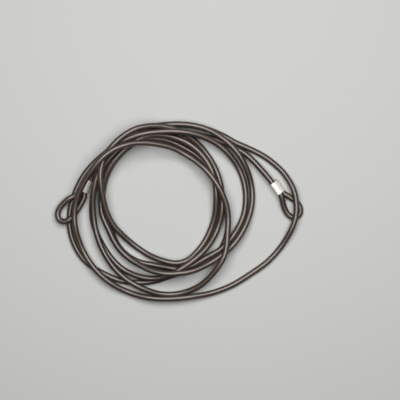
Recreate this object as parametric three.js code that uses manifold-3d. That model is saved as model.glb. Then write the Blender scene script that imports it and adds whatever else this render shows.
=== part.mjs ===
// Double-loop security cable for a bicycle: one length of vinyl-covered steel rope, with an
// eye closed by a pressed aluminium sleeve at each end, lying in a loose coil on a flat surface.
// Millimetres, +Z up. The origin is under the middle of the whole coil, on the surface.

import * as THREE from 'three';
import { mergeVertices } from 'three/addons/utils/BufferGeometryUtils.js';
import Module from 'manifold-3d';

// ---- Driving dimensions ----

const CABLE_RADIUS = 4;             // outside of the vinyl jacket
const JACKET_BORE_RADIUS = 2.95;    // corners of the eight-sided bore
const ROPE_RADIUS = 2.4;            // steel rope inside the jacket
const TUBE_SIDES = 8;

const SLEEVE_LENGTH = 18.6;
const SLEEVE_HALF_WIDTH = 8.2;      // across both legs of the eye
const SLEEVE_HALF_THICKNESS = 4.6;
const SLEEVE_SHOULDER = 2.2;        // length of the rounded shoulder at each end
const SLEEVE_SHOULDER_SCALE = 0.985; // width halfway along a shoulder, of the full width
const SLEEVE_END_SCALE = 0.93;      // and at the face
const SLEEVE_SIDES = 28;
const SLEEVE_BORE_RADIUS = 2.75;
const SLEEVE_BORE_SIDES = 16;
const BORE_OVERRUN = 2;             // how far the cutter stands out of each face
const SLEEVE_CLEAR_RADIUS = 4.9;    // room that a leg needs inside the sleeve
const LEG_SPACING = 8.3;            // between the two legs of an eye, centre to centre
const LOW_LEG_HEIGHT = 4.3;
const JACKET_END_GAP = 0.4;         // bare rope between a jacket's end and a sleeve
const RUN_LEAD = 5;                 // straight stretch of the run at a sleeve
const EYE_LEAD = 2;                 // and of each leg of an eye
const DEAD_END_LENGTH = 1.6;        // cut end of the rope that stands out of the sleeve

const STEP = 4.5;                   // spacing of the points along the cable
const FINENESS = 6;                 // a curve is first drawn with this many points per step
const RUN_STRIDE = 4;               // the long run keeps every fourth point
const STRAND_GAP = 0.4;             // free space between strands that touch
const HUMP_REACH = 13.5;            // the cable stays up this far to each side of a crossing
const HUMP_ROUNDING = 9;            // and bends up and down over about twice this length
const STEEPEST = 0.3;               // rise per length where it climbs over a pile
const SLEEVE_REACH = 18;            // the first stretch at a sleeve, held by the sleeve itself
const END_RAMP = 63;                // how far it takes to come down from a sleeve
const OWN_STRETCH = 3;              // cable widths along the run that don't count as a crossing
const ROUNDS = 16;                  // of laying down, after which the heights stay the same
const RUN_END_LAYER = 1.5;
const WELD_DISTANCE = 1e-4;         // corners nearer than this are one corner

// ---- Route of the coil ----
// Each row is [bearing, radius, layer]: degrees clockwise from +X seen from above, millimetres
// from the middle of the coil, and which strand lies on which where they cross (higher on top).

const FIRST_TURN = [
  [213, 106.7, 1.5], [220, 107.5, 1.5], [230, 108.4, 1.5], [240, 110, 1.5], [250, 113.4, 1.5],
  [260, 118, 3], [270, 123.2, 4], [280, 127.8, 4], [290, 132.7, 4], [300, 136.9, 4],
  [310, 138.9, 4], [320, 140, 4], [330, 139, 4], [340, 136.8, 4], [350, 133.4, 4],
  [0, 127.4, 5.5], [8, 122, 5.5], [15, 117.3, 5.5], [23, 111.7, 5.5], [30, 106.4, 5.5],
  [38, 101.4, 5.5], [47, 96.6, 5.5], [56, 92.7, 5.5], [63, 89.5, 5.5], [70, 86.2, 5.5],
  [79, 83.4, 5.5], [88, 80.5, 5.5], [98, 77.8, 5.5], [110, 74.5, 5.5], [123, 73.1, 5.5],
  [137, 72.4, 5.5], [150, 71.7, 5.5], [162, 72, 5.5], [172, 74.8, 5.5], [180, 78, 5.5],
  [190, 80.9, 5.5], [205, 85.3, 5.5], [215, 90.2, 5.5], [225, 94.1, 5.5], [235, 98, 5],
];
const SECOND_TURN = [
  [245, 102.6, 4], [254, 107.4, 3.5], [262, 110, 3.5], [270, 110.6, 3.5], [280, 109.9, 3.5],
  [290, 108.2, 3.5], [300, 105.3, 3.5], [310, 101.5, 3.5], [320, 96.6, 3.5], [330, 91, 3.5],
  [340, 85.6, 3.2], [350, 81.6, 3], [0, 79, 3], [15, 76, 3], [30, 75, 3], [45, 75, 3],
  [57, 75.5, 3], [65, 73.9, 3], [73, 70.6, 3], [81, 66.1, 3], [88, 62.9, 3], [96, 59.9, 3],
  [104, 57.7, 4], [115, 55.4, 5], [127, 54.6, 6], [140, 55.4, 7], [153, 58.4, 8],
  [165, 63.3, 8], [175, 67.6, 8], [185, 72.5, 8], [193, 77, 8], [200, 82, 8], [206, 87.4, 8],
  [212, 93.8, 8], [218, 100.1, 8], [225, 106.4, 8], [232, 111.4, 8],
];
const THIRD_TURN = [
  [240, 115.6, 8], [248, 119.6, 8], [256, 122.4, 8], [265, 123.2, 5], [274, 122.4, 5],
  [282, 120.7, 4.6], [290, 117.3, 3.2], [298, 113.4, 3], [307, 108.9, 3], [316, 104.6, 3],
  [325, 100.5, 3], [334, 96.5, 3], [342, 93.3, 3], [350, 90.6, 3.5], [0, 87.8, 4.5],
  [12, 85.2, 4.5], [24, 83.3, 4.5], [36, 81.6, 4.5], [48, 80.4, 4.5], [58, 80.4, 4.5],
  [67, 81.5, 4.5], [75, 83.7, 4.5], [83, 86.1, 4.5], [91, 88.5, 4.5], [100, 89.9, 4.5],
  [112, 90.6, 4.5], [124, 90.9, 4.5], [136, 89.7, 4.5], [148, 88.9, 4.5], [160, 89.6, 4.5],
  [172, 91.7, 4.5], [184, 93.2, 4.5], [194, 94.6, 4.5], [203, 96.6, 4.5], [212, 99.1, 4.5],
  [221, 101.4, 4.5], [230, 103.3, 3.5],
];
const FOURTH_TURN = [
  [240, 105.3, 2.2], [250, 106.3, 2], [260, 106.4, 2], [270, 105.6, 2], [280, 103, 2],
  [290, 100.2, 2], [300, 98.6, 2], [310, 96.7, 2], [320, 94.6, 2], [330, 93.2, 2],
  [341, 93.7, 2], [352, 95.5, 2], [3, 97.4, 2], [13, 99.1, 1.2], [23, 100, 1], [32, 99.3, 1],
  [40, 96.6, 1], [45, 94, 1], [50, 91.8, 1], [57, 90, 1], [66, 88.2, 1], [75, 87.1, 1],
  [84, 89, 1], [92, 92.4, 1], [100, 96, 1], [108, 100, 1], [116, 104.4, 1], [124, 108.4, 1],
  [132, 112, 1], [140, 116.9, 1], [150, 122.1, 1], [160, 124.6, 1], [170, 125.3, 1],
  [180, 124.1, 1], [190, 121.5, 1], [200, 119.2, 1], [210, 117.2, 1], [220, 114.9, 1],
  [230, 113.4, 1],
];
const FIFTH_TURN = [
  [240, 114.8, 1], [250, 117.6, 1], [260, 121.1, 1], [270, 124.6, 1], [280, 128.1, 1],
  [290, 132.7, 1], [300, 137.5, 1], [309, 142.2, 1], [317.5, 147.8, 1], [322.4, 154.2, 1],
  [327.2, 161.8, 1.2], [331.9, 169.7, 4], [336, 176.1, 6], [340.3, 182.6, 8], [345.4, 188.4, 9],
  [350, 191.9, 9], [354.5, 192.9, 9], [359, 192.3, 9], [4, 189.2, 9], [9, 183.7, 9],
  [15, 176.8, 9], [23, 166.6, 9], [33, 153, 9], [44, 142.5, 9], [56, 132.3, 9], [68, 123.6, 9],
  [80, 119, 9], [92, 117, 9], [105, 116.3, 9], [120, 116.2, 9], [135, 116.2, 9],
  [150, 116.2, 9], [165, 116.3, 9], [180, 116.3, 9], [192, 114.4, 9], [203, 111.5, 9],
  [214, 109.8, 9], [225, 109.5, 9],
];
const SIXTH_TURN = [
  [236, 108.2, 9], [247, 105.4, 9], [258, 101.6, 9], [270, 97.2, 9], [282, 94.6, 9],
  [294, 91.7, 9], [306, 90.7, 9], [318, 90.7, 9], [330, 91.6, 9], [342, 93.5, 9], [354, 96, 9],
  [5, 97.7, 8], [15, 99.8, 7], [23, 103.6, 7], [31, 107.7, 7], [40, 110.2, 7], [50, 112.7, 7],
  [60, 114.7, 7], [70, 114.7, 7], [80, 113.4, 7], [90, 110.5, 7], [98, 106.8, 7],
  [106, 103.7, 7], [114, 101.1, 7], [122, 98.6, 7], [131, 96, 7], [140, 93.4, 7],
  [150, 91.3, 7], [160, 90, 7], [170, 89.7, 7], [180, 90.3, 7], [190, 92.4, 7], [200, 95.5, 7],
  [210, 98.8, 7], [218, 102.2, 7], [226, 106.1, 6.5],
];
const SEVENTH_TURN = [
  [234, 109.8, 6.2], [242, 112.3, 6], [251, 113.2, 6], [261, 113.8, 6], [272, 115, 6],
  [282, 117.9, 6], [292, 121.7, 6], [302, 125.4, 6], [312, 128.5, 6], [322, 129.5, 6],
  [332, 129.2, 6], [342, 127, 5], [352, 123.2, 4], [0, 119.3, 3.2], [8, 114.1, 2.7],
  [15, 109.2, 2.5], [22, 104.2, 2.5], [30, 98.7, 2.5], [36, 93.8, 2.5], [43, 89.3, 2.5],
  [50, 86.8, 2.5], [58, 84.8, 2.5], [65, 83.2, 2.5], [71, 80.5, 2.5], [78, 76, 2.5],
  [87, 72.5, 2.5], [98, 70.6, 2.5], [110, 71.4, 2.5], [122, 71.8, 2.5], [136, 71.4, 2.5],
  [150, 70.4, 2.5], [163, 69.4, 2.5], [172, 71.1, 2.5], [180, 74.2, 2.5], [190, 78.8, 2.5],
  [205, 84.6, 2.3], [215, 89.2, 2], [225, 93.7, 1.7],
];
const LAST_TURN = [
  [235, 98, 1.5], [245, 102.5, 1.3], [255, 107, 1.3], [265, 111.3, 1.3], [275, 115.5, 1.3],
  [285, 119.7, 1.3], [295, 123.9, 1.3], [303, 128.5, 1.3], [310, 133.8, 1.3], [316, 139, 1.3],
  [320, 142.8, 1.3], [325, 147.9, 1.3], [329.5, 151.5, 1.3], [334, 154.7, 1.3], [338, 158.2, 1.3],
];
const TURNS = [
  FIRST_TURN, SECOND_TURN, THIRD_TURN, FOURTH_TURN, FIFTH_TURN, SIXTH_TURN, SEVENTH_TURN,
  LAST_TURN,
];

// ---- The two eyes ----
// tail and mouth are the ends of the sleeve's axis: the cable comes in at the tail and the eye
// opens at the mouth. side is the level direction from the low leg to the high one. tilt is how
// steeply the legs are stacked. The eye's own points go from the high leg round to the low one.

const EYE_LAYER = 3;

const LEFT_EYE = {
  name: 'left',
  tail: [-97.4, 48.4],
  mouth: [-105.4, 31.6],
  side: [-0.903, 0.43],
  tilt: 45,
  points: [
    [-111, 29, 10.8], [-115.8, 26, 12.2], [-123.4, 22.7, 12.8],
    [-130.2, 17.5, 11.4],
    [-135.8, 11.6, 9.8], [-139.3, 5.6, 8.8], [-140.4, -0.4, 8.6], [-139.2, -5.3, 9],
    [-135.8, -8.7, 10], [-131.2, -9.8, 11.2], [-126.3, -8.3, 12.4], [-121.1, -4.9, 12.8],
    [-116.2, 1.4, 11.8], [-112, 7.7, 9.8], [-108.4, 14, 7.6], [-105.6, 19.6, 5.8],
    [-103.6, 25.2, 4.7],
  ],
};
const RIGHT_EYE = {
  name: 'right',
  tail: [161.2, 45.1],
  mouth: [171.9, 29.9],
  side: [-0.818, -0.576],
  tilt: 54,
  points: [
    [172.6, 21.5, 9.8], [174.4, 14, 7.4], [177.2, 6.3, 5.4], [181, 0.3, 4.4], [185.9, -3.4, 4],
    [191.5, -3.9, 4], [196, -1.4, 4], [198.4, 3.5, 4], [198.1, 9.1, 4],
    [195.7, 14.3, 4], [191.1, 19.2, 4], [184.8, 23.4, 4.1], [179.6, 26.9, 4.3],
  ],
};

// ---- Materials ----

const JACKET = new THREE.MeshStandardMaterial({ color: 0x4a423f, roughness: 0.42, metalness: 0 });
const STEEL = new THREE.MeshStandardMaterial({ color: 0x8d8f92, roughness: 0.35, metalness: 1 });
const ALUMINIUM = new THREE.MeshStandardMaterial({
  color: 0xd9dadb, roughness: 0.38, metalness: 1,
});

// ---- Lines in space ----

/** A station of the cable: where its centre is, and how it is stacked. */
function station(x, y, z, layer) {
  return { x, y, z, layer };
}

function fromBearing([bearing, radius, layer]) {
  const angle = THREE.MathUtils.degToRad(-bearing);
  return station(radius * Math.cos(angle), radius * Math.sin(angle), CABLE_RADIUS, layer);
}

function distance(a, b) {
  return Math.hypot(a.x - b.x, a.y - b.y, a.z - b.z);
}

/** The slope of one coordinate at point i, weighted by the lengths of the two spans it joins. */
function slopeAt(points, spans, i, key) {
  const before = i > 0 ? (points[i][key] - points[i - 1][key]) / spans[i - 1] : null;
  const after = i < spans.length ? (points[i + 1][key] - points[i][key]) / spans[i] : null;
  if (before === null) return after;
  if (after === null) return before;
  return (before * spans[i] + after * spans[i - 1]) / (spans[i - 1] + spans[i]);
}

/** A smooth curve through the points, as stations about a step apart. */
function smoothLine(points, step) {
  const spans = [];
  for (let i = 0; i + 1 < points.length; i += 1) spans.push(distance(points[i], points[i + 1]));
  const dense = [];
  for (let i = 0; i < spans.length; i += 1) {
    const pieces = Math.ceil((spans[i] * FINENESS) / step);
    for (let k = 0; k < pieces; k += 1) {
      const t = k / pieces;
      const point = station(0, 0, 0, points[i].layer + (points[i + 1].layer - points[i].layer) * t);
      for (const key of ['x', 'y', 'z']) {
        const startSlope = slopeAt(points, spans, i, key) * spans[i];
        const endSlope = slopeAt(points, spans, i + 1, key) * spans[i];
        point[key] = (2 * t ** 3 - 3 * t ** 2 + 1) * points[i][key]
          + (t ** 3 - 2 * t ** 2 + t) * startSlope
          + (3 * t ** 2 - 2 * t ** 3) * points[i + 1][key]
          + (t ** 3 - t ** 2) * endSlope;
      }
      dense.push(point);
    }
  }
  dense.push(points[points.length - 1]);
  return evenlySpaced(dense, step);
}

/** The same line with stations at equal distances, as near to step as fits. */
function evenlySpaced(line, step) {
  const along = [0];
  for (let i = 1; i < line.length; i += 1) along.push(along[i - 1] + distance(line[i - 1], line[i]));
  const total = along[along.length - 1];
  const count = Math.max(1, Math.round(total / step));
  const result = [];
  let i = 0;
  for (let k = 0; k <= count; k += 1) {
    const target = (total * k) / count;
    while (i + 2 < line.length && along[i + 1] < target) i += 1;
    const t = (target - along[i]) / (along[i + 1] - along[i]);
    const point = station(0, 0, 0, 0);
    for (const key of ['x', 'y', 'z', 'layer']) {
      point[key] = line[i][key] + (line[i + 1][key] - line[i][key]) * t;
    }
    result.push(point);
  }
  return result;
}

// ---- Legs and eyes ----

/** A point on one leg inside a sleeve: high is 1 for the high leg and -1 for the low one. */
function legPoint(eye, [x, y], high) {
  const tilt = THREE.MathUtils.degToRad(eye.tilt);
  const aside = (LEG_SPACING / 2) * Math.cos(tilt) * high;
  const lift = (LEG_SPACING / 2) * Math.sin(tilt) * (1 + high);
  return station(x + eye.side[0] * aside, y + eye.side[1] * aside, LOW_LEG_HEIGHT + lift, EYE_LAYER);
}

/** The point a given distance past b on the line from a to b. */
function pointBeyond(a, b, extra) {
  const t = 1 + extra / distance(a, b);
  return station(a.x + (b.x - a.x) * t, a.y + (b.y - a.y) * t, a.z + (b.z - a.z) * t, b.layer);
}

/** Where the two legs of an eye meet the sleeve's two faces. */
function sleeveLegs(eye) {
  return {
    highTail: legPoint(eye, eye.tail, 1),
    highMouth: legPoint(eye, eye.mouth, 1),
    lowTail: legPoint(eye, eye.tail, -1),
    lowMouth: legPoint(eye, eye.mouth, -1),
  };
}

/** The eye from the sleeve's mouth, high leg first, and back to the mouth on the low leg. */
function eyeLine(eye, legs) {
  const start = pointBeyond(legs.highTail, legs.highMouth, JACKET_END_GAP);
  const end = pointBeyond(legs.lowTail, legs.lowMouth, JACKET_END_GAP);
  const leadOut = pointBeyond(legs.highTail, legs.highMouth, EYE_LEAD);
  const leadIn = pointBeyond(legs.lowTail, legs.lowMouth, EYE_LEAD);
  const turn = eye.points.map(([x, y, z]) => station(x, y, z, EYE_LAYER));
  return [start, ...smoothLine([leadOut, ...turn, leadIn], STEP), end];
}

// ---- How the coil rests on itself ----

function easeInOut(t) {
  const u = THREE.MathUtils.clamp(t, 0, 1);
  return u * u * (3 - 2 * u);
}

/** Every pair of stations where one lies across another, with how much higher it has to be. */
function crossings(run, fixed) {
  const clear = 2 * CABLE_RADIUS + STRAND_GAP;
  const found = [];
  const apart = Math.ceil((OWN_STRETCH * clear) / STEP);
  for (let i = 0; i < run.length; i += 1) {
    for (let j = i + apart; j < run.length; j += 1) {
      const gap = Math.hypot(run[i].x - run[j].x, run[i].y - run[j].y);
      if (gap >= clear) continue;
      const [upper, lower] = run[i].layer > run[j].layer ? [i, j] : [j, i];
      found.push({ upper, lower, lift: Math.sqrt(clear ** 2 - gap ** 2) });
    }
    for (const post of fixed) {
      const room = CABLE_RADIUS + post.radius + STRAND_GAP;
      const gap = Math.hypot(run[i].x - post.x, run[i].y - post.y);
      const nearEnd = Math.min(i, run.length - 1 - i) * STEP < SLEEVE_REACH;
      if (gap >= room || nearEnd || run[i].layer < post.layer) continue;
      found.push({ upper: i, height: post.z + Math.sqrt(room ** 2 - gap ** 2) });
    }
  }
  return found;
}

/** The highest value within reach stations of each one. */
function widened(values, reach) {
  return values.map((_, i) => Math.max(...values.slice(Math.max(0, i - reach), i + reach + 1)));
}

/** The values raised where needed, so that none is left by more than drop from the one before. */
function eased(values, drop) {
  const result = [...values];
  for (let i = 1; i < result.length; i += 1) result[i] = Math.max(result[i], result[i - 1] - drop);
  for (let i = result.length - 2; i >= 0; i -= 1) {
    result[i] = Math.max(result[i], result[i + 1] - drop);
  }
  return result;
}

/** The mean of the values within reach stations of each one. */
function averaged(values, reach) {
  return values.map((_, i) => {
    const near = values.slice(Math.max(0, i - reach), i + reach + 1);
    return near.reduce((sum, value) => sum + value, 0) / near.length;
  });
}

/** Gives each station of the run the height at which it rests on the surface or on the coil. */
function layDown(run, fixed, startHeight, endHeight) {
  const last = run.length - 1;
  const floor = run.map((_, i) => CABLE_RADIUS
    + (startHeight - CABLE_RADIUS) * easeInOut(1 - (i * STEP) / END_RAMP)
    + (endHeight - CABLE_RADIUS) * easeInOut(1 - ((last - i) * STEP) / END_RAMP));
  const pairs = crossings(run, fixed);
  const reach = Math.round(HUMP_REACH / STEP);
  const rounding = Math.round(HUMP_ROUNDING / STEP);
  let heights = floor;
  for (let round = 0; round < ROUNDS; round += 1) {
    const needed = [...floor];
    for (const { upper, lower, lift, height } of pairs) {
      const level = height ?? heights[lower] + lift;
      needed[upper] = Math.max(needed[upper], level);
    }
    const raised = eased(widened(needed, reach), STEEPEST * STEP);
    heights = averaged(averaged(raised, rounding), rounding);
  }
  run.forEach((point, i) => {
    const away = easeInOut((Math.min(i, last - i) * STEP) / SLEEVE_REACH);
    point.z = floor[i] + (heights[i] - floor[i]) * away;
  });
}

// ---- Solids ----

/** A path whose evenly spaced points are exactly the given rings. */
class RingPath extends THREE.Curve {
  constructor(rings) {
    super();
    this.rings = rings;
  }

  getPoint(t, target = new THREE.Vector3()) {
    const place = THREE.MathUtils.clamp(t, 0, 1) * (this.rings.length - 1);
    const i = Math.min(Math.floor(place), this.rings.length - 2);
    const from = this.rings[i];
    const to = this.rings[i + 1];
    return target.set(from.x, from.y, from.z).lerp(new THREE.Vector3(to.x, to.y, to.z), place - i);
  }

  getUtoTmapping(u) {
    return u;
  }
}

function polygon(radius, Kind) {
  const corners = [];
  for (let k = 0; k < TUBE_SIDES; k += 1) {
    const angle = (2 * Math.PI * k) / TUBE_SIDES;
    corners.push(new THREE.Vector2(radius * Math.cos(angle), radius * Math.sin(angle)));
  }
  return new Kind(corners);
}

function tube(name, rings, radius, boreRadius, material) {
  const section = polygon(radius, THREE.Shape);
  if (boreRadius > 0) section.holes.push(polygon(boreRadius, THREE.Path));
  const geometry = new THREE.ExtrudeGeometry(section, {
    steps: rings.length - 1,
    extrudePath: new RingPath(rings),
    bevelEnabled: false,
  });
  const mesh = new THREE.Mesh(geometry, material);
  mesh.name = name;
  return mesh;
}

const wasm = await Module();
wasm.setup();

function toManifold(source) {
  const geometry = source.clone();
  geometry.deleteAttribute('normal');
  geometry.deleteAttribute('uv');
  const merged = mergeVertices(geometry, WELD_DISTANCE);
  return new wasm.Manifold(new wasm.Mesh({
    numProp: 3,
    vertProperties: new Float32Array(merged.attributes.position.array),
    triVerts: new Uint32Array(merged.index.array),
  }));
}

function fromManifold(solid) {
  const mesh = solid.getMesh();
  const geometry = new THREE.BufferGeometry();
  geometry.setAttribute('position', new THREE.BufferAttribute(mesh.vertProperties, 3));
  geometry.setIndex(new THREE.BufferAttribute(mesh.triVerts, 1));
  geometry.computeVertexNormals();
  return geometry;
}

/** A pressed sleeve about its own origin: legs along Z, side by side along X. */
function sleeveGeometry() {
  const half = SLEEVE_LENGTH / 2;
  const full = half - SLEEVE_SHOULDER;
  const rounded = half - SLEEVE_SHOULDER / 2;
  const outline = [
    [0, -half], [SLEEVE_END_SCALE, -half], [SLEEVE_SHOULDER_SCALE, -rounded], [1, -full],
    [1, full], [SLEEVE_SHOULDER_SCALE, rounded], [SLEEVE_END_SCALE, half], [0, half],
  ].map(([radius, z]) => new THREE.Vector2(radius, z));
  const body = new THREE.LatheGeometry(outline, SLEEVE_SIDES);
  body.rotateX(Math.PI / 2);
  body.scale(SLEEVE_HALF_WIDTH, SLEEVE_HALF_THICKNESS, 1);
  let solid = toManifold(body);
  for (const sign of [-1, 1]) {
    const cutter = new THREE.CylinderGeometry(SLEEVE_BORE_RADIUS, SLEEVE_BORE_RADIUS,
      SLEEVE_LENGTH + 2 * BORE_OVERRUN, SLEEVE_BORE_SIDES);
    cutter.rotateX(Math.PI / 2);
    cutter.translate((sign * LEG_SPACING) / 2, 0, 0);
    solid = solid.subtract(toManifold(cutter));
  }
  return fromManifold(solid);
}

function sleeve(eye, legs) {
  const mesh = new THREE.Mesh(sleeveGeometry(), ALUMINIUM);
  mesh.name = `${eye.name}_sleeve`;
  const along = new THREE.Vector3(eye.mouth[0] - eye.tail[0], eye.mouth[1] - eye.tail[1], 0);
  const across = new THREE.Vector3(
    legs.highTail.x - legs.lowTail.x, legs.highTail.y - legs.lowTail.y,
    legs.highTail.z - legs.lowTail.z);
  along.normalize();
  across.normalize();
  const through = new THREE.Vector3().crossVectors(along, across);
  mesh.quaternion.setFromRotationMatrix(new THREE.Matrix4().makeBasis(across, through, along));
  mesh.position.set(
    (eye.tail[0] + eye.mouth[0]) / 2,
    (eye.tail[1] + eye.mouth[1]) / 2,
    (legs.highTail.z + legs.lowTail.z) / 2,
  );
  return mesh;
}

// ---- Assembly ----

const leftLegs = sleeveLegs(LEFT_EYE);
const rightLegs = sleeveLegs(RIGHT_EYE);
const leftEye = eyeLine(LEFT_EYE, leftLegs);
const rightEye = eyeLine(RIGHT_EYE, rightLegs);

// The run leaves the left sleeve by its low leg and enters the right sleeve by its high leg.
const runStart = pointBeyond(leftLegs.lowMouth, leftLegs.lowTail, JACKET_END_GAP);
const runEnd = pointBeyond(rightLegs.highMouth, rightLegs.highTail, JACKET_END_GAP);
const startHeight = runStart.z;
const endHeight = runEnd.z;
const leadOut = pointBeyond(leftLegs.lowMouth, leftLegs.lowTail, RUN_LEAD);
const leadIn = pointBeyond(rightLegs.highMouth, rightLegs.highTail, RUN_LEAD);
for (const point of [runStart, leadOut, leadIn, runEnd]) {
  point.z = CABLE_RADIUS;
  point.layer = RUN_END_LAYER;
}
const run = [
  runStart,
  ...smoothLine([leadOut, ...TURNS.flat().map(fromBearing), leadIn], STEP),
  runEnd,
];

const posts = [...leftEye, ...rightEye].map((point) => ({ ...point, radius: CABLE_RADIUS }));
for (const legs of [leftLegs, rightLegs]) {
  for (const leg of [[legs.highTail, legs.highMouth], [legs.lowTail, legs.lowMouth]]) {
    for (const point of evenlySpaced(leg, STEP)) {
      posts.push({ ...point, radius: SLEEVE_CLEAR_RADIUS });
    }
  }
}
layDown(run, posts, startHeight, endHeight);

const endStations = Math.round(SLEEVE_REACH / STEP);
const runRings = run.filter((_, i) => i % RUN_STRIDE === 0
  || i < endStations || i >= run.length - endStations);

const ropeRings = [
  pointBeyond(leftLegs.highMouth, leftLegs.highTail, DEAD_END_LENGTH),
  ...leftEye,
  ...runRings,
  ...rightEye,
  pointBeyond(rightLegs.lowMouth, rightLegs.lowTail, DEAD_END_LENGTH),
];

const group = new THREE.Group();
group.add(tube('wire_rope', ropeRings, ROPE_RADIUS, 0, STEEL));
group.add(tube('main_jacket', runRings, CABLE_RADIUS, JACKET_BORE_RADIUS, JACKET));
group.add(tube('left_eye_jacket', leftEye, CABLE_RADIUS, JACKET_BORE_RADIUS, JACKET));
group.add(tube('right_eye_jacket', rightEye, CABLE_RADIUS, JACKET_BORE_RADIUS, JACKET));
group.add(sleeve(LEFT_EYE, leftLegs));
group.add(sleeve(RIGHT_EYE, rightLegs));

const bounds = new THREE.Box3().setFromObject(group, true);
const middle = bounds.getCenter(new THREE.Vector3());
group.position.set(-middle.x, -middle.y, -bounds.min.z);

export default group;
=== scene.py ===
"""A double-loop security cable for a bicycle, lying in a loose coil and seen from straight above.

One steel rope in a smoky vinyl jacket runs from eye to eye, and a pressed aluminium sleeve
closes each eye. The route of the coil is the one that the model's own solids follow.
"""

import math

import bpy
import mathutils
import numpy as np
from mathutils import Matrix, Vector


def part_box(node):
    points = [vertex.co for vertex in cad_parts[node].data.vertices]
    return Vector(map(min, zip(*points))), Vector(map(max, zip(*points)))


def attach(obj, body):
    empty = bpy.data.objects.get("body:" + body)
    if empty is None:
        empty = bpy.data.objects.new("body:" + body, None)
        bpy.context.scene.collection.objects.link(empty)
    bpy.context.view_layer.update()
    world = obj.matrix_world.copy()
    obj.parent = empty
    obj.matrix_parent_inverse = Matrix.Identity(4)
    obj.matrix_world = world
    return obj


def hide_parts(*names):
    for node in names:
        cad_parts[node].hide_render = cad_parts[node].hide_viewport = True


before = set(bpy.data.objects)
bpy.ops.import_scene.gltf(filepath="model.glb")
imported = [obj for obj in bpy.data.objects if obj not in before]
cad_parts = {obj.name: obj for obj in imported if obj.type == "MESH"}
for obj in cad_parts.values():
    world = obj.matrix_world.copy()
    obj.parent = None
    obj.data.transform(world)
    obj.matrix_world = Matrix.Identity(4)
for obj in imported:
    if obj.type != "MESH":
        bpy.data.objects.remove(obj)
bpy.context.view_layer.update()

MM = 0.001
TURN = 2 * math.pi
ROOT = "root"

# ---- Sizes, in metres ----

CABLE_RADIUS = 4 * MM
JACKET_BORE_RADIUS = 2.75 * MM
ROPE_RADIUS = 2.4 * MM
LAY_LENGTH = 18 * MM  # one full turn of the rope's strands
OUTER_STRANDS = 6
WIRES_SEEN = 6  # in each strand, where the rope is bare
WIRES_SHOWING_THROUGH = 4  # in each strand, under the vinyl
JACKET_RIDGE = 0.07 * MM  # how far the strands show through the jacket
LIP = ((0, 0.3 * MM), (0.1 * MM, 0.12 * MM), (0.3 * MM, 0.03 * MM))  # place and drop at an end

SLEEVE_LENGTH = 18.6 * MM
SLEEVE_HALF_WIDTH = 8.2 * MM
SLEEVE_HALF_THICKNESS = 4.6 * MM
SLEEVE_BORE_RADIUS = 2.75 * MM
SLEEVE_CLEAR_RADIUS = 4.9 * MM
SLEEVE_ROUNDING = 1.3 * MM
SLEEVE_SQUARENESS = 2.5  # 2 would be an ellipse, and more is nearer to a box
FLASH_HEIGHT = 0.16 * MM  # the thin line that the dies leave at each edge
FLASH_WIDTH = 0.07  # as the sine of an angle round the sleeve's outline
PRESS_BANDS = 3
PRESS_DEPTH = 0.09 * MM
LEG_SPACING = 8.3 * MM
LOW_LEG_HEIGHT = 4.3 * MM
JACKET_END_GAP = 0.4 * MM
RUN_LEAD = 5 * MM
EYE_LEAD = 2 * MM
DEAD_END_LENGTH = 1.6 * MM

# ---- How finely the meshes are drawn ----

SIDES_PER_STRAND = 4
JACKET_RING_STEP = 1.25 * MM
INNER_WALL_STRIDE = 3  # the bore keeps every third ring
ROPE_SIDES = 36
ROPE_RING_STEP = 3 * MM
ROPE_END_STEP = 0.6 * MM  # where the rope shows, near its ends
ROPE_END_REACH = 26 * MM
SLEEVE_SIDES = 72
SLEEVE_ROWS = 40
SLEEVE_CORNER_ROWS = 7
BORE_SIDES = 32

# ---- How high the strands lie ----

STEP = 4.5 * MM  # between the stations along the cable
FINENESS = 6  # points that a curve is first drawn with, for each step
STRAND_GAP = 0.4 * MM
HUMP_REACH = 13.5 * MM  # how far it stays up to each side of a crossing
HUMP_ROUNDING = 9 * MM
STEEPEST = 0.3  # rise for each metre along, where it climbs over a pile
SLEEVE_REACH = 18 * MM  # the first stretch from a sleeve, which the sleeve holds in place
END_RAMP = 63 * MM  # how far it takes to come down from a sleeve
OWN_STRETCH = 3  # strand spacings along the cable that don't count as a crossing
LAYING_ROUNDS = 16

# ---- View ----

VIEW_WIDTH = 0.56  # what the picture's width covers on the floor
CAMERA_HEIGHT = 2.4
CAMERA_OVER = (0.029, 0.016)  # the point that the camera looks straight down on
NEAREST_SEEN = 0.05
FURTHEST_SEEN = 20
FLOOR_HALF_WIDTH = 3

# ---- Route of the coil ----
# Each row is (bearing, radius, layer): degrees clockwise from +X seen from above, metres from
# the middle of the coil, and which strand lies on which where they cross (higher on top).

FIRST_TURN = [
    (213, 0.1067, 1.5), (220, 0.1075, 1.5), (230, 0.1084, 1.5), (240, 0.11, 1.5),
    (250, 0.1134, 1.5), (260, 0.118, 3), (270, 0.1232, 4), (280, 0.1278, 4), (290, 0.1327, 4),
    (300, 0.1369, 4), (310, 0.1389, 4), (320, 0.14, 4), (330, 0.139, 4), (340, 0.1368, 4),
    (350, 0.1334, 4), (0, 0.1274, 5.5), (8, 0.122, 5.5), (15, 0.1173, 5.5), (23, 0.1117, 5.5),
    (30, 0.1064, 5.5), (38, 0.1014, 5.5), (47, 0.0966, 5.5), (56, 0.0927, 5.5),
    (63, 0.0895, 5.5), (70, 0.0862, 5.5), (79, 0.0834, 5.5), (88, 0.0805, 5.5),
    (98, 0.0778, 5.5), (110, 0.0745, 5.5), (123, 0.0731, 5.5), (137, 0.0724, 5.5),
    (150, 0.0717, 5.5), (162, 0.072, 5.5), (172, 0.0748, 5.5), (180, 0.078, 5.5),
    (190, 0.0809, 5.5), (205, 0.0853, 5.5), (215, 0.0902, 5.5), (225, 0.0941, 5.5),
    (235, 0.098, 5),
]
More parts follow.
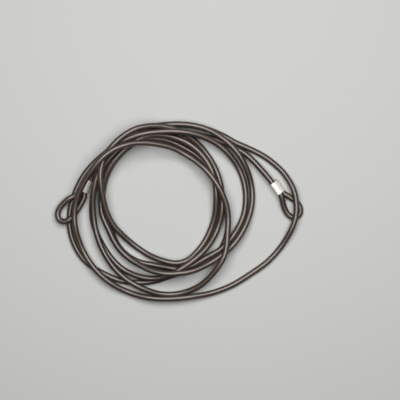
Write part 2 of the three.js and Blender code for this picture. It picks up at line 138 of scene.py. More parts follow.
SECOND_TURN = [
    (245, 0.1026, 4), (254, 0.1074, 3.5), (262, 0.11, 3.5), (270, 0.1106, 3.5),
    (280, 0.1099, 3.5), (290, 0.1082, 3.5), (300, 0.1053, 3.5), (310, 0.1015, 3.5),
    (320, 0.0966, 3.5), (330, 0.091, 3.5), (340, 0.0856, 3.2), (350, 0.0816, 3), (0, 0.079, 3),
    (15, 0.076, 3), (30, 0.075, 3), (45, 0.075, 3), (57, 0.0755, 3), (65, 0.0739, 3),
    (73, 0.0706, 3), (81, 0.0661, 3), (88, 0.0629, 3), (96, 0.0599, 3), (104, 0.0577, 4),
    (115, 0.0554, 5), (127, 0.0546, 6), (140, 0.0554, 7), (153, 0.0584, 8), (165, 0.0633, 8),
    (175, 0.0676, 8), (185, 0.0725, 8), (193, 0.077, 8), (200, 0.082, 8), (206, 0.0874, 8),
    (212, 0.0938, 8), (218, 0.1001, 8), (225, 0.1064, 8), (232, 0.1114, 8),
]
THIRD_TURN = [
    (240, 0.1156, 8), (248, 0.1196, 8), (256, 0.1224, 8), (265, 0.1232, 5), (274, 0.1224, 5),
    (282, 0.1207, 4.6), (290, 0.1173, 3.2), (298, 0.1134, 3), (307, 0.1089, 3), (316, 0.1046, 3),
    (325, 0.1005, 3), (334, 0.0965, 3), (342, 0.0933, 3), (350, 0.0906, 3.5), (0, 0.0878, 4.5),
    (12, 0.0852, 4.5), (24, 0.0833, 4.5), (36, 0.0816, 4.5), (48, 0.0804, 4.5),
    (58, 0.0804, 4.5), (67, 0.0815, 4.5), (75, 0.0837, 4.5), (83, 0.0861, 4.5),
    (91, 0.0885, 4.5), (100, 0.0899, 4.5), (112, 0.0906, 4.5), (124, 0.0909, 4.5),
    (136, 0.0897, 4.5), (148, 0.0889, 4.5), (160, 0.0896, 4.5), (172, 0.0917, 4.5),
    (184, 0.0932, 4.5), (194, 0.0946, 4.5), (203, 0.0966, 4.5), (212, 0.0991, 4.5),
    (221, 0.1014, 4.5), (230, 0.1033, 3.5),
]
FOURTH_TURN = [
    (240, 0.1053, 2.2), (250, 0.1063, 2), (260, 0.1064, 2), (270, 0.1056, 2), (280, 0.103, 2),
    (290, 0.1002, 2), (300, 0.0986, 2), (310, 0.0967, 2), (320, 0.0946, 2), (330, 0.0932, 2),
    (341, 0.0937, 2), (352, 0.0955, 2), (3, 0.0974, 2), (13, 0.0991, 1.2), (23, 0.1, 1),
    (32, 0.0993, 1), (40, 0.0966, 1), (45, 0.094, 1), (50, 0.0918, 1), (57, 0.09, 1),
    (66, 0.0882, 1), (75, 0.0871, 1), (84, 0.089, 1), (92, 0.0924, 1), (100, 0.096, 1),
    (108, 0.1, 1), (116, 0.1044, 1), (124, 0.1084, 1), (132, 0.112, 1), (140, 0.1169, 1),
    (150, 0.1221, 1), (160, 0.1246, 1), (170, 0.1253, 1), (180, 0.1241, 1), (190, 0.1215, 1),
    (200, 0.1192, 1), (210, 0.1172, 1), (220, 0.1149, 1), (230, 0.1134, 1),
]
FIFTH_TURN = [
    (240, 0.1148, 1), (250, 0.1176, 1), (260, 0.1211, 1), (270, 0.1246, 1), (280, 0.1281, 1),
    (290, 0.1327, 1), (300, 0.1375, 1), (309, 0.1422, 1), (317.5, 0.1478, 1), (322.4, 0.1542, 1),
    (327.2, 0.1618, 1.2), (331.9, 0.1697, 4), (336, 0.1761, 6), (340.3, 0.1826, 8),
    (345.4, 0.1884, 9), (350, 0.1919, 9), (354.5, 0.1929, 9), (359, 0.1923, 9), (4, 0.1892, 9),
    (9, 0.1837, 9), (15, 0.1768, 9), (23, 0.1666, 9), (33, 0.153, 9), (44, 0.1425, 9),
    (56, 0.1323, 9), (68, 0.1236, 9), (80, 0.119, 9), (92, 0.117, 9), (105, 0.1163, 9),
    (120, 0.1162, 9), (135, 0.1162, 9), (150, 0.1162, 9), (165, 0.1163, 9), (180, 0.1163, 9),
    (192, 0.1144, 9), (203, 0.1115, 9), (214, 0.1098, 9), (225, 0.1095, 9),
]
SIXTH_TURN = [
    (236, 0.1082, 9), (247, 0.1054, 9), (258, 0.1016, 9), (270, 0.0972, 9), (282, 0.0946, 9),
    (294, 0.0917, 9), (306, 0.0907, 9), (318, 0.0907, 9), (330, 0.0916, 9), (342, 0.0935, 9),
    (354, 0.096, 9), (5, 0.0977, 8), (15, 0.0998, 7), (23, 0.1036, 7), (31, 0.1077, 7),
    (40, 0.1102, 7), (50, 0.1127, 7), (60, 0.1147, 7), (70, 0.1147, 7), (80, 0.1134, 7),
    (90, 0.1105, 7), (98, 0.1068, 7), (106, 0.1037, 7), (114, 0.1011, 7), (122, 0.0986, 7),
    (131, 0.096, 7), (140, 0.0934, 7), (150, 0.0913, 7), (160, 0.09, 7), (170, 0.0897, 7),
    (180, 0.0903, 7), (190, 0.0924, 7), (200, 0.0955, 7), (210, 0.0988, 7), (218, 0.1022, 7),
    (226, 0.1061, 6.5),
]
SEVENTH_TURN = [
    (234, 0.1098, 6.2), (242, 0.1123, 6), (251, 0.1132, 6), (261, 0.1138, 6), (272, 0.115, 6),
    (282, 0.1179, 6), (292, 0.1217, 6), (302, 0.1254, 6), (312, 0.1285, 6), (322, 0.1295, 6),
    (332, 0.1292, 6), (342, 0.127, 5), (352, 0.1232, 4), (0, 0.1193, 3.2), (8, 0.1141, 2.7),
    (15, 0.1092, 2.5), (22, 0.1042, 2.5), (30, 0.0987, 2.5), (36, 0.0938, 2.5),
    (43, 0.0893, 2.5), (50, 0.0868, 2.5), (58, 0.0848, 2.5), (65, 0.0832, 2.5),
    (71, 0.0805, 2.5), (78, 0.076, 2.5), (87, 0.0725, 2.5), (98, 0.0706, 2.5),
    (110, 0.0714, 2.5), (122, 0.0718, 2.5), (136, 0.0714, 2.5), (150, 0.0704, 2.5),
    (163, 0.0694, 2.5), (172, 0.0711, 2.5), (180, 0.0742, 2.5), (190, 0.0788, 2.5),
    (205, 0.0846, 2.3), (215, 0.0892, 2), (225, 0.0937, 1.7),
]
LAST_TURN = [
    (235, 0.098, 1.5), (245, 0.1025, 1.3), (255, 0.107, 1.3), (265, 0.1113, 1.3),
    (275, 0.1155, 1.3), (285, 0.1197, 1.3), (295, 0.1239, 1.3), (303, 0.1285, 1.3),
    (310, 0.1338, 1.3), (316, 0.139, 1.3), (320, 0.1428, 1.3), (325, 0.1479, 1.3),
    (329.5, 0.1515, 1.3), (334, 0.1547, 1.3), (338, 0.1582, 1.3),
]
TURNS = [
    FIRST_TURN, SECOND_TURN, THIRD_TURN, FOURTH_TURN, FIFTH_TURN, SIXTH_TURN, SEVENTH_TURN,
    LAST_TURN,
]
END_LAYER = 1.5  # where the run meets a sleeve

# ---- The two eyes ----

EYE_LAYER = 3

LEFT_EYE = {
    "name": "left",
    "tail": (-0.0974, 0.0484),
    "mouth": (-0.1054, 0.0316),
    "side": (-0.903, 0.43),
    "tilt": 45,
    "points": [
        (-0.111, 0.029, 0.0108), (-0.1158, 0.026, 0.0122), (-0.1234, 0.0227, 0.0128),
        (-0.1302, 0.0175, 0.0114), (-0.1358, 0.0116, 0.0098), (-0.1393, 0.0056, 0.0088),
        (-0.1404, -0.0004, 0.0086), (-0.1392, -0.0053, 0.009), (-0.1358, -0.0087, 0.01),
        (-0.1312, -0.0098, 0.0112), (-0.1263, -0.0083, 0.0124), (-0.1211, -0.0049, 0.0128),
        (-0.1162, 0.0014, 0.0118), (-0.112, 0.0077, 0.0098), (-0.1084, 0.014, 0.0076),
        (-0.1056, 0.0196, 0.0058), (-0.1036, 0.0252, 0.0047),
    ],
}
RIGHT_EYE = {
    "name": "right",
    "tail": (0.1612, 0.0451),
    "mouth": (0.1719, 0.0299),
    "side": (-0.818, -0.576),
    "tilt": 54,
    "points": [
        (0.1726, 0.0215, 0.0098), (0.1744, 0.014, 0.0074), (0.1772, 0.0063, 0.0054),
        (0.181, 0.0003, 0.0044), (0.1859, -0.0034, 0.004), (0.1915, -0.0039, 0.004),
        (0.196, -0.0014, 0.004), (0.1984, 0.0035, 0.004), (0.1981, 0.0091, 0.004),
        (0.1957, 0.0143, 0.004), (0.1911, 0.0192, 0.004), (0.1848, 0.0234, 0.0041),
        (0.1796, 0.0269, 0.0043),
    ],
}

# The two legs of an eye, and the side of the sleeve's middle that each one lies on.
LEVELS = {"high": 1, "low": -1}

# ---- Lines in space: arrays with the columns x, y, z and layer ----


def from_bearing(bearing, radius, layer):
    angle = math.radians(-bearing)
    return [radius * math.cos(angle), radius * math.sin(angle), CABLE_RADIUS, layer]


def spans_of(points):
    return np.linalg.norm(np.diff(points[:, :3], axis=0), axis=1)


def slopes_of(points):
    """The slope at each point, weighted by the lengths of the two spans that it joins."""
    spans = spans_of(points)[:, None]
    chords = np.diff(points, axis=0) / spans
    inner = (chords[:-1] * spans[1:] + chords[1:] * spans[:-1]) / (spans[:-1] + spans[1:])
    return np.vstack([chords[:1], inner, chords[-1:]])


def curve_between(t, span, start, start_slope, end, end_slope):
    """Points on the smooth curve from start to end, with t from 0 to 1 along the span."""
    return (
        (2 * t**3 - 3 * t**2 + 1) * start
        + (t**3 - 2 * t**2 + t) * span * start_slope
        + (3 * t**2 - 2 * t**3) * end
        + (t**3 - t**2) * span * end_slope
    )


def distances_along(line):
    return np.concatenate([[0], np.cumsum(spans_of(line))])


def evenly_spaced(line):
    """The same line as stations at equal distances, about a step apart."""
    along = distances_along(line)
    count = max(1, round(along[-1] / STEP))
    places = np.linspace(0, along[-1], count + 1)
    return np.column_stack([np.interp(places, along, column) for column in line.T])


def smooth_line(points):
    """A smooth curve through the points, as stations about a step apart."""
    points = np.array(points, float)
    slopes = slopes_of(points)
    dense = []
    for i, span in enumerate(spans_of(points)):
        pieces = math.ceil(span / (STEP / FINENESS))
        t = (np.arange(pieces) / pieces)[:, None]
        line = curve_between(t, span, points[i], slopes[i], points[i + 1], slopes[i + 1])
        line[:, 3] = points[i, 3] + (points[i + 1, 3] - points[i, 3]) * t[:, 0]
        dense.append(line)
    dense.append(points[-1:])
    return evenly_spaced(np.vstack(dense))


def point_beyond(a, b, extra):
    """The point a given distance past b on the line from a to b."""
    direction = (b - a)[:3] / np.linalg.norm((b - a)[:3])
    return np.append(b[:3] + direction * extra, b[3])


# ---- Legs and eyes ----


def leg_point(eye, place, sign):
    """A point on one leg inside a sleeve: sign is 1 for the high leg and -1 for the low one."""
    tilt = math.radians(eye["tilt"])
    aside = (LEG_SPACING / 2) * math.cos(tilt) * sign
    lift = (LEG_SPACING / 2) * math.sin(tilt) * (1 + sign)
    x, y = (place[k] + eye["side"][k] * aside for k in range(2))
    return np.array([x, y, LOW_LEG_HEIGHT + lift, EYE_LAYER])


def sleeve_legs(eye):
    """Where each leg passes through each end face of the sleeve."""
    return {
        (level, face): leg_point(eye, eye[face], sign)
        for level, sign in LEVELS.items()
        for face in ("tail", "mouth")
    }


def eye_line(eye, legs):
    """The eye from the sleeve's mouth, high leg first, and back to the mouth on the low leg."""
    high_leg = legs["high", "tail"], legs["high", "mouth"]
    low_leg = legs["low", "tail"], legs["low", "mouth"]
    start, lead_out = point_beyond(*high_leg, JACKET_END_GAP), point_beyond(*high_leg, EYE_LEAD)
    end, lead_in = point_beyond(*low_leg, JACKET_END_GAP), point_beyond(*low_leg, EYE_LEAD)
    turn = [[*point, EYE_LAYER] for point in eye["points"]]
    return np.vstack([start, smooth_line([lead_out, *turn, lead_in]), end])


# ---- Heights of the coil ----


def ease_in_out(t):
    u = np.clip(t, 0, 1)
    return u * u * (3 - 2 * u)


def from_ends(count):
    """How far each station is from the first one, and how far from the last one."""
    places = np.arange(count)
    return places * STEP, (count - 1 - places) * STEP


def crossings(run, posts):
    """Which stations lie over which others, by how much, and how high the posts hold them up."""
    clear = 2 * CABLE_RADIUS + STRAND_GAP
    gaps = np.hypot(*(run[:, None, k] - run[None, :, k] for k in range(2)))
    apart = math.ceil(OWN_STRETCH * clear / STEP)
    first, second = np.nonzero(np.triu(gaps < clear, apart))
    swap = run[first, 3] > run[second, 3]
    upper = np.where(swap, first, second)
    lower = np.where(swap, second, first)
    lift = np.sqrt(clear**2 - gaps[first, second] ** 2)

    near_end = np.minimum(*from_ends(len(run))) < SLEEVE_REACH
    held_up = np.full(len(run), -np.inf)
    for x, y, z, layer, radius in posts:
        room = CABLE_RADIUS + radius + STRAND_GAP
        gap = np.hypot(run[:, 0] - x, run[:, 1] - y)
        over = (gap < room) & ~near_end & (run[:, 3] >= layer)
        level = z + np.sqrt(np.maximum(room**2 - gap**2, 0))
        held_up = np.where(over, np.maximum(held_up, level), held_up)
    return upper, lower, lift, held_up


def widened(values, reach):
    """The highest value within reach stations of each one."""
    padded = np.pad(values, reach, constant_values=-np.inf)
    return np.lib.stride_tricks.sliding_window_view(padded, 2 * reach + 1).max(axis=1)


def eased(values, drop):
    """The values, raised where a neighbour is higher by more than drop."""
    result = values.copy()
    for i in range(1, len(result)):
        result[i] = max(result[i], result[i - 1] - drop)
    for i in range(len(result) - 2, -1, -1):
        result[i] = max(result[i], result[i + 1] - drop)
    return result


def averaged(values, reach):
    """The mean of the values within reach stations of each one."""
    window = np.ones(2 * reach + 1)
    total = np.convolve(values, window, "same")
    return total / np.convolve(np.ones(len(values)), window, "same")


def lay_down(run, posts, start_height, end_height):
    """Gives each station its height: clear of what it crosses, and coming down in between.

    Where crossings are close together the cable stays up between them, with air under it.
    """
    to_start, to_end = from_ends(len(run))
    lowest = (
        CABLE_RADIUS
        + (start_height - CABLE_RADIUS) * ease_in_out(1 - to_start / END_RAMP)
        + (end_height - CABLE_RADIUS) * ease_in_out(1 - to_end / END_RAMP)
    )
    upper, lower, lift, held_up = crossings(run, posts)
    reach = round(HUMP_REACH / STEP)
    rounding = round(HUMP_ROUNDING / STEP)
    heights = lowest
    for _ in range(LAYING_ROUNDS):
        needed = np.maximum(lowest, held_up)
        np.maximum.at(needed, upper, heights[lower] + lift)
        raised = eased(widened(needed, reach), STEEPEST * STEP)
        heights = averaged(averaged(raised, rounding), rounding)
    away = ease_in_out(np.minimum(to_start, to_end) / SLEEVE_REACH)
    run[:, 2] = lowest + (heights - lowest) * away


def posts_of(eyes):
    """The eyes and the sleeves' legs, as points with the radius that the coil keeps clear of."""
    posts = []
    for eye in eyes:
        posts += [[*point, CABLE_RADIUS] for point in eye["line"]]
        for level in LEVELS:
            leg = np.array([eye["legs"][level, "tail"], eye["legs"][level, "mouth"]])
            posts += [[*point, SLEEVE_CLEAR_RADIUS] for point in evenly_spaced(leg)]
    return posts


def coil_run(left, right):
    """The long run, from the left sleeve's low leg to the right sleeve's high leg."""
    start_leg = left["legs"]["low", "mouth"], left["legs"]["low", "tail"]
    end_leg = right["legs"]["high", "mouth"], right["legs"]["high", "tail"]
    start, lead_out = point_beyond(*start_leg, JACKET_END_GAP), point_beyond(*start_leg, RUN_LEAD)
    end, lead_in = point_beyond(*end_leg, JACKET_END_GAP), point_beyond(*end_leg, RUN_LEAD)
    heights = start[2], end[2]
    for point in (start, lead_out, end, lead_in):
        point[2:] = CABLE_RADIUS, END_LAYER
    turns = [from_bearing(*row) for turn in TURNS for row in turn]
    run = np.vstack([start, smooth_line([lead_out, *turns, lead_in]), end])
    lay_down(run, posts_of((left, right)), *heights)
    return run


def placed(eye):
    """The eye with its legs and its line."""
    legs = sleeve_legs(eye)
    return {**eye, "legs": legs, "line": eye_line(eye, legs)}


def sleeve_middle(eye):
    return np.mean([point[:3] for point in eye["legs"].values()], axis=0)


left_eye = placed(LEFT_EYE)
right_eye = placed(RIGHT_EYE)
run_line = coil_run(left_eye, right_eye)

# The route is measured from the middle of the coil, and the model from under its own middle:
# a sleeve's place gives the step between the two.
sleeve_box = np.array(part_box("left_sleeve"))
to_model = sleeve_box.mean(axis=0) - sleeve_middle(left_eye)


def in_model(line):
    return line[:, :3] + to_model


# ---- Meshes ----


def resampled(stations, places):
    """Points on a smooth curve through the stations, at the given distances along them."""
    spans = spans_of(stations)
    along = distances_along(stations)
    slopes = slopes_of(stations)
    i = np.clip(np.searchsorted(along, places, "right") - 1, 0, len(spans) - 1)
    span = spans[i][:, None]
    t = (places - along[i])[:, None] / span
    return curve_between(t, span, stations[i], slopes[i], stations[i + 1], slopes[i + 1])


def cross_axes(line):
    """Two directions across the line at each point, carried along it without twisting."""
    tangents = slopes_of(line)
    tangents /= np.linalg.norm(tangents, axis=1)[:, None]
    start = np.cross(tangents[0], [0, 0, 1])
    normals = [start / np.linalg.norm(start)]
    for tangent in tangents[1:]:
        normal = normals[-1] - tangent * (normals[-1] @ tangent)
        normals.append(normal / np.linalg.norm(normal))
    normals = np.array(normals)
    return normals, np.cross(tangents, normals)


def wall_points(line, angles, radii):
    """Rings of points round the line: a row for each point of the line, a column for each side."""
    normals, binormals = cross_axes(line)
    cosines = np.cos(angles)[..., None]
    sines = np.sin(angles)[..., None]
    outward = cosines * normals[:, None] + sines * binormals[:, None]
    return line[:, None] + np.broadcast_to(radii, angles.shape)[..., None] * outward


def point_numbers(rows, sides, first=0):
    """The numbers of the points of a wall in its mesh, laid out as wall_points gives them."""
    return first + np.arange(rows * sides).reshape(rows, sides)


def joined(near, far):
    """Quads between rings of points. They face outward where far lies further along the line."""
    near_next = np.roll(near, -1, axis=-1)
    far_next = np.roll(far, -1, axis=-1)
    return np.stack([near, near_next, far_next, far], axis=-1).reshape(-1, 4)


def joined_uvs(near, far, sides):
    """Coordinates for each corner of those quads: metres along the line, and turns round it."""
    near, far = near[:, None], far[:, None]
    before = np.arange(sides)[None] / sides
    after = np.arange(1, sides + 1)[None] / sides
    corners = [(near, before), (near, after), (far, after), (far, before)]
    pairs = [np.stack(np.broadcast_arrays(*corner), axis=-1) for corner in corners]
    return np.stack(pairs, axis=-2).reshape(-1, 2)


def closed_tube(rows, sides):
    """The quads of a tube's wall and one face over each end, first end first."""
    numbers = point_numbers(rows, sides)
    wall = joined(numbers[:-1], numbers[1:])
    return [*wall.tolist(), numbers[0, ::-1].tolist(), numbers[-1].tolist()]


def mesh_object(name, points, faces, uvs=None):
    """uvs is one pair for each corner of each face, in the order of the faces."""
    mesh = bpy.data.meshes.new(name)
    mesh.from_pydata(points.reshape(-1, 3).tolist(), [], faces)
    if uvs is not None:
        layer = mesh.uv_layers.new(name="lay")
        layer.data.foreach_set("uv", uvs.ravel())
    mesh.shade_smooth()
    mesh.validate()
    piece = bpy.data.objects.new(name, mesh)
    bpy.context.collection.objects.link(piece)
    return piece


def finish_piece(piece, node, slot):
    piece.data.materials.clear()
    piece.data.materials.append(MATERIALS[slot])
    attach(piece, ROOT)
    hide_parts(node)


def laid_angles(places, sides):
    """The angle of each side at each place, turning with the lay of the rope's strands."""
    return TURN * (np.arange(sides)[None] / sides + places[:, None] / LAY_LENGTH)


def jacket(name, node, stations):
    """A vinyl tube, open at both ends, with the rope's strands showing faintly through it."""
    length = spans_of(stations).sum()
    lip, fall = np.array(LIP).T
    count = round(length / JACKET_RING_STEP)
    body = np.linspace(0, length, count + 1)[1:-1]
    places = np.concatenate([lip, body, length - lip[::-1]])
    drop = np.concatenate([fall, np.zeros(len(body)), fall[::-1]])
    line = resampled(stations, places)

    sides = OUTER_STRANDS * SIDES_PER_STRAND
    angles = laid_angles(places, sides)
    strand_angle = OUTER_STRANDS * TURN * np.arange(sides) / sides
    ridge = JACKET_RIDGE * (np.cos(strand_angle) - 1) / 2
    outer = wall_points(line, angles, CABLE_RADIUS - drop[:, None] + ridge[None])
    kept = np.unique([*range(0, len(places), INNER_WALL_STRIDE), len(places) - 1])
    inner = wall_points(line, angles, JACKET_BORE_RADIUS)[kept]

    outside = point_numbers(len(places), sides)
    inside = point_numbers(len(kept), sides, first=outside.size)
    end_faces = np.vstack([joined(inside[0], outside[0]), joined(outside[-1], inside[-1])])
    faces = np.vstack([
        joined(outside[:-1], outside[1:]),
        joined(inside[1:], inside[:-1]),
        end_faces,
    ])
    uvs = np.vstack([
        joined_uvs(places[:-1], places[1:], sides),
        joined_uvs(places[kept][1:], places[kept][:-1], sides),
        np.zeros((end_faces.size, 2)),
    ])
    points = np.vstack([outer.reshape(-1, 3), inner.reshape(-1, 3)])
    piece = mesh_object(name, points, faces.tolist(), uvs)
    finish_piece(piece, node, "vinyl_jacket")
    return piece, line, length


def strand_outline(turns):
    """How far out the rope's surface is, by the turn round it: six equal strands round one."""
    strand = ROPE_RADIUS / 3
    middle_out = 2 * strand
    offset = (turns * OUTER_STRANDS + 0.5) % 1 - 0.5
    phi = TURN * offset / OUTER_STRANDS
    bulge = np.maximum(strand**2 - (middle_out * np.sin(phi)) ** 2, 0)
    return middle_out * np.cos(phi) + np.sqrt(bulge)


def rope(stations):
    """The steel rope, whole from one cut end to the other."""
    length = spans_of(stations).sum()
    ends = np.arange(0, ROPE_END_REACH, ROPE_END_STEP)
    middle = np.arange(ROPE_END_REACH, length - ROPE_END_REACH, ROPE_RING_STEP)
    places = np.concatenate([ends, middle, length - ends[::-1]])
    line = resampled(stations, places)
    radii = strand_outline(np.arange(ROPE_SIDES) / ROPE_SIDES)
    points = wall_points(line, laid_angles(places, ROPE_SIDES), radii)
    cap_uvs = np.zeros((2 * ROPE_SIDES, 2))
    uvs = np.vstack([joined_uvs(places[:-1], places[1:], ROPE_SIDES), cap_uvs])
    piece = mesh_object("rope", points, closed_tube(len(places), ROPE_SIDES), uvs)
    finish_piece(piece, "wire_rope", "steel_rope")


def sleeve_section(inset):
    """The outline of the pressed sleeve, drawn in by the inset, with the flash at each edge."""
    angle = TURN * np.arange(SLEEVE_SIDES) / SLEEVE_SIDES
    cosine, sine = np.cos(angle), np.sin(angle)
    power = 2 / SLEEVE_SQUARENESS
    wide = SLEEVE_HALF_WIDTH - FLASH_HEIGHT - inset
    thick = SLEEVE_HALF_THICKNESS - inset
    x = np.sign(cosine) * np.abs(cosine) ** power * wide
    y = np.sign(sine) * np.abs(sine) ** power * thick
    x += np.sign(cosine) * FLASH_HEIGHT * np.exp(-((sine / FLASH_WIDTH) ** 2))
    return x, y


def sleeve_points():
    """Rings of points from the sleeve's tail to its mouth, along z."""
    half = SLEEVE_LENGTH / 2
    turn = np.linspace(0, TURN / 4, SLEEVE_CORNER_ROWS)
    corner_z = half - SLEEVE_ROUNDING * (1 - np.sin(turn))
    corner_in = SLEEVE_ROUNDING * (1 - np.cos(turn))
    flat = np.linspace(-(half - SLEEVE_ROUNDING), half - SLEEVE_ROUNDING, SLEEVE_ROWS)[1:-1]
    heights = np.concatenate([-corner_z[::-1], flat, corner_z])
    rounding = np.concatenate([corner_in[::-1], np.zeros(len(flat)), corner_in])
    bands = PRESS_DEPTH * (np.cos(math.pi * PRESS_BANDS * heights / half) + 1) / 2
    insets = np.where(rounding == 0, bands, rounding)
    rings = []
    for z, inset in zip(heights, insets):
        x, y = sleeve_section(inset)
        rings.append(np.column_stack([x, y, np.full(SLEEVE_SIDES, z)]))
    return np.array(rings)


def sleeve(eye):
    """A pressed aluminium sleeve with a bore for each leg of the eye."""
    legs = eye["legs"]
    along = legs["high", "mouth"][:3] - legs["high", "tail"][:3]
    across = legs["high", "tail"][:3] - legs["low", "tail"][:3]
    along, across = (v / np.linalg.norm(v) for v in (along, across))
    turn_to = np.column_stack([across, np.cross(along, across), along])
    place = sleeve_middle(eye) + to_model
    points = sleeve_points()
    faces = closed_tube(len(points), SLEEVE_SIDES)
    piece = mesh_object(f"sleeve_{eye['name']}", points @ turn_to.T + place, faces)
    for sign in (-1, 1):
        bore_middle = place + across * sign * LEG_SPACING / 2
        reach = along * SLEEVE_LENGTH
        drill(piece, np.array([bore_middle - reach, bore_middle + reach]))
    finish_piece(piece, f"{eye['name']}_sleeve", "aluminium_sleeve")


def drill(piece, line):
    """Cuts a straight hole of the bore's radius from the line's first point to its second."""
    angles = TURN * np.arange(BORE_SIDES)[None] / BORE_SIDES + np.zeros((2, 1))
    points = wall_points(line, angles, SLEEVE_BORE_RADIUS)
    rod = mesh_object("drill", points, closed_tube(2, BORE_SIDES))
    modifier = piece.modifiers.new("bore", "BOOLEAN")
    modifier.operation = "DIFFERENCE"
    modifier.solver = "EXACT"
    modifier.object = rod
    evaluated = piece.evaluated_get(bpy.context.evaluated_depsgraph_get())
    piece.data = bpy.data.meshes.new_from_object(evaluated)
    piece.modifiers.clear()
    bpy.data.objects.remove(rod)


# ---- Materials ----

# A Mix node has a set of sockets for each kind of value: these are its factor and its colours.
MIX_FACTOR = 0
MIX_FIRST = 6
MIX_SECOND = 7
MIX_RESULT = 2


def new_material(name):
    material = bpy.data.materials.new(name)
    material.use_nodes = True
    return material, material.node_tree, material.node_tree.nodes["Principled BSDF"]


def set_input(tree, shader, name, value):
    """Links a node's output to an input, or sets the input to a plain number or colour."""
    if isinstance(value, bpy.types.NodeSocket):
        tree.links.new(value, shader.inputs[name])
    else:
        shader.inputs[name].default_value = value


def add(tree, kind, inputs=None, **settings):
    """A new node, with its settings and with the given inputs linked or set."""
    node = tree.nodes.new(kind)
    for key, value in settings.items():
        setattr(node, key, value)
    for key, value in (inputs or {}).items():
        set_input(tree, node, key, value)
    return node


def ramp(tree, factor, low, high):
    """A colour ramp between two (place, colour) stops."""
    node = add(tree, "ShaderNodeValToRGB", {"Fac": factor})
    for element, (place, colour) in zip(node.color_ramp.elements, (low, high)):
        element.position = place
        element.color = (*colour, 1)
    return node.outputs["Color"]


def grey(value):
    return (value, value, value)


def math_node(tree, operation, *values):
    inputs = dict(enumerate(values))
    return add(tree, "ShaderNodeMath", inputs, operation=operation).outputs[0]


def stripes(tree, lay, around, per_metre):
    """A wave from 0 to 1, with so many stripes round the tube and so many in a metre of it."""
    parts = add(tree, "ShaderNodeSeparateXYZ", {0: lay})
    turned = math_node(tree, "MULTIPLY", parts.outputs["Y"], TURN * around)
    travelled = math_node(tree, "MULTIPLY_ADD", parts.outputs["X"], TURN * per_metre, turned)
    cosine = math_node(tree, "COSINE", travelled)
    return math_node(tree, "MULTIPLY_ADD", cosine, 0.5, 0.5)


def noise(tree, place, scale, detail=4.0, roughness=0.55):
    return add(tree, "ShaderNodeTexNoise", {
        "Vector": place, "Scale": scale, "Detail": detail, "Roughness": roughness,
    }).outputs["Fac"]


def mixed(tree, factor, first, second, blend="MIX"):
    inputs = {MIX_FACTOR: factor, MIX_FIRST: first, MIX_SECOND: second}
    node = add(tree, "ShaderNodeMix", inputs, data_type="RGBA", blend_type=blend)
    return node.outputs[MIX_RESULT]


def bumped(tree, shader, height, distance, strength, below=None):
    """Bump on the shader, on top of the bump below where there is one."""
    inputs = {"Height": height, "Distance": distance, "Strength": strength}
    if below is not None:
        inputs["Normal"] = below
    normal = add(tree, "ShaderNodeBump", inputs).outputs["Normal"]
    set_input(tree, shader, "Normal", normal)
    return normal


def lay_coordinates(tree):
    return add(tree, "ShaderNodeUVMap", uv_map="lay").outputs["UV"]


def place_coordinates(tree):
    return add(tree, "ShaderNodeTexCoord").outputs["Object"]


def vinyl():
    """Smoky see-through vinyl: lighter over each strand of the rope and darker between them."""
    material, tree, shader = new_material("smoky_vinyl")
    lay = lay_coordinates(tree)
    place = place_coordinates(tree)
    strands = stripes(tree, lay, around=OUTER_STRANDS, per_metre=0)
    wires = stripes(tree, lay, around=WIRES_SHOWING_THROUGH * OUTER_STRANDS, per_metre=180)
    cloud = noise(tree, place, scale=14)
    scuffs = noise(tree, place, scale=260, detail=6, roughness=0.7)

    between = ramp(tree, cloud, (0.3, (0.011, 0.0075, 0.006)), (0.7, (0.018, 0.0125, 0.0105)))
    over = ramp(tree, cloud, (0.3, (0.08, 0.059, 0.049)), (0.7, (0.125, 0.094, 0.079)))
    strand_colour = mixed(tree, strands, between, over)
    wire_shade = ramp(tree, wires, (0, grey(0.82)), (1, grey(1)))
    clean_colour = mixed(tree, 1, strand_colour, wire_shade, "MULTIPLY")
    dust = ramp(tree, scuffs, (0.55, grey(0)), (0.85, grey(0.2)))
    dust_colour = (0.22, 0.2, 0.185, 1)
    set_input(tree, shader, "Base Color", mixed(tree, dust, clean_colour, dust_colour))
    roughness = ramp(tree, scuffs, (0.3, grey(0.35)), (0.75, grey(0.46)))
    set_input(tree, shader, "Roughness", roughness)
    set_input(tree, shader, "Specular IOR Level", 0.6)
    set_input(tree, shader, "Coat Weight", 0.5)
    set_input(tree, shader, "Coat Roughness", 0.32)
    ridges = bumped(tree, shader, strands, distance=0.25 * MM, strength=0.5)
    bumped(tree, shader, scuffs, distance=0.05 * MM, strength=0.35, below=ridges)
    return material


def steel():
    """Bright galvanised wires."""
    material, tree, shader = new_material("galvanised_steel")
    lay = lay_coordinates(tree)
    place = place_coordinates(tree)
    wires = stripes(tree, lay, around=WIRES_SEEN * OUTER_STRANDS, per_metre=400)
    cloud = noise(tree, place, scale=120)
    bright = ramp(tree, cloud, (0.3, (0.42, 0.43, 0.44)), (0.7, (0.6, 0.61, 0.62)))
    gaps = ramp(tree, wires, (0, grey(0.35)), (0.4, grey(1)))
    set_input(tree, shader, "Base Color", mixed(tree, 1, bright, gaps, "MULTIPLY"))
    roughness = ramp(tree, cloud, (0.3, grey(0.28)), (0.7, grey(0.42)))
    set_input(tree, shader, "Roughness", roughness)
    set_input(tree, shader, "Metallic", 1)
    bumped(tree, shader, wires, distance=0.15 * MM, strength=0.8)
    return material


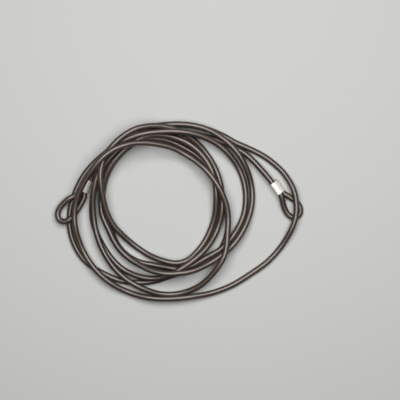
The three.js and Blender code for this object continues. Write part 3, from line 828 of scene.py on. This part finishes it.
def aluminium():
    """Pressed aluminium, bright and a little uneven from the press."""
    material, tree, shader = new_material("pressed_aluminium")
    place = place_coordinates(tree)
    cloud = noise(tree, place, scale=180, detail=5)
    grain = noise(tree, place, scale=1800, detail=3)
    colour = ramp(tree, cloud, (0.25, (0.54, 0.525, 0.49)), (0.7, (0.8, 0.785, 0.74)))
    set_input(tree, shader, "Base Color", colour)
    roughness = ramp(tree, grain, (0.3, grey(0.48)), (0.7, grey(0.6)))
    set_input(tree, shader, "Roughness", roughness)
    set_input(tree, shader, "Metallic", 0.3)
    dents = bumped(tree, shader, cloud, distance=0.12 * MM, strength=0.5)
    bumped(tree, shader, grain, distance=0.02 * MM, strength=0.4, below=dents)
    return material


def plain_floor():
    material, tree, shader = new_material("pale_floor")
    set_input(tree, shader, "Base Color", (0.33, 0.334, 0.333, 1))
    set_input(tree, shader, "Roughness", 0.9)
    return material


MATERIALS = {"vinyl_jacket": vinyl(), "steel_rope": steel(), "aluminium_sleeve": aluminium()}

# ---- Camera, light and floor ----


def camera():
    data = bpy.data.cameras.new("camera")
    data.lens = data.sensor_width * CAMERA_HEIGHT / VIEW_WIDTH
    data.clip_start = NEAREST_SEEN
    data.clip_end = FURTHEST_SEEN
    seen = bpy.data.objects.new("camera", data)
    seen.location = (*CAMERA_OVER, CAMERA_HEIGHT)
    bpy.context.collection.objects.link(seen)
    bpy.context.scene.camera = seen


def area_light(name, place, size, power, colour):
    """A round light that faces the middle of the floor."""
    data = bpy.data.lights.new(name, "AREA")
    data.shape = "DISK"
    data.size = size
    data.energy = power
    data.color = colour
    light = bpy.data.objects.new(name, data)
    light.location = place
    light.rotation_mode = "QUATERNION"
    light.rotation_quaternion = mathutils.Vector(place).to_track_quat("Z", "Y")
    bpy.context.collection.objects.link(light)


def lights():
    area_light("overhead", place=(0.05, 0.3, 1.5), size=1.7, power=41, colour=(1, 0.99, 0.97))
    area_light("side", place=(0.9, 0.7, 0.9), size=0.4, power=0.4, colour=(0.97, 0.985, 1))
    world = bpy.data.worlds.new("studio")
    world.use_nodes = True
    background = world.node_tree.nodes["Background"]
    background.inputs["Color"].default_value = (0.9, 0.94, 1, 1)
    background.inputs["Strength"].default_value = 0.02
    bpy.context.scene.world = world
    bpy.context.scene.view_settings.view_transform = "Standard"
    bpy.context.scene.view_settings.look = "High Contrast"


def floor():
    half = FLOOR_HALF_WIDTH
    points = np.array([(-half, -half, 0), (half, -half, 0), (half, half, 0), (-half, half, 0)])
    plane = mesh_object("floor", points, [(0, 1, 2, 3)])
    plane.data.materials.append(plain_floor())


# ---- The object ----

camera()
run_skin, run_centres, run_length = jacket("jacket_run", "main_jacket", in_model(run_line))
for eye in (left_eye, right_eye):
    jacket(f"jacket_{eye['name']}_eye", f"{eye['name']}_eye_jacket", in_model(eye["line"]))
    sleeve(eye)

left_end, right_end = (
    point_beyond(eye["legs"][level, "mouth"], eye["legs"][level, "tail"], DEAD_END_LENGTH)
    for eye, level in ((left_eye, "high"), (right_eye, "low"))
)
rope(in_model(np.vstack([left_end, left_eye["line"], run_line, right_eye["line"], right_end])))

lights()
floor()
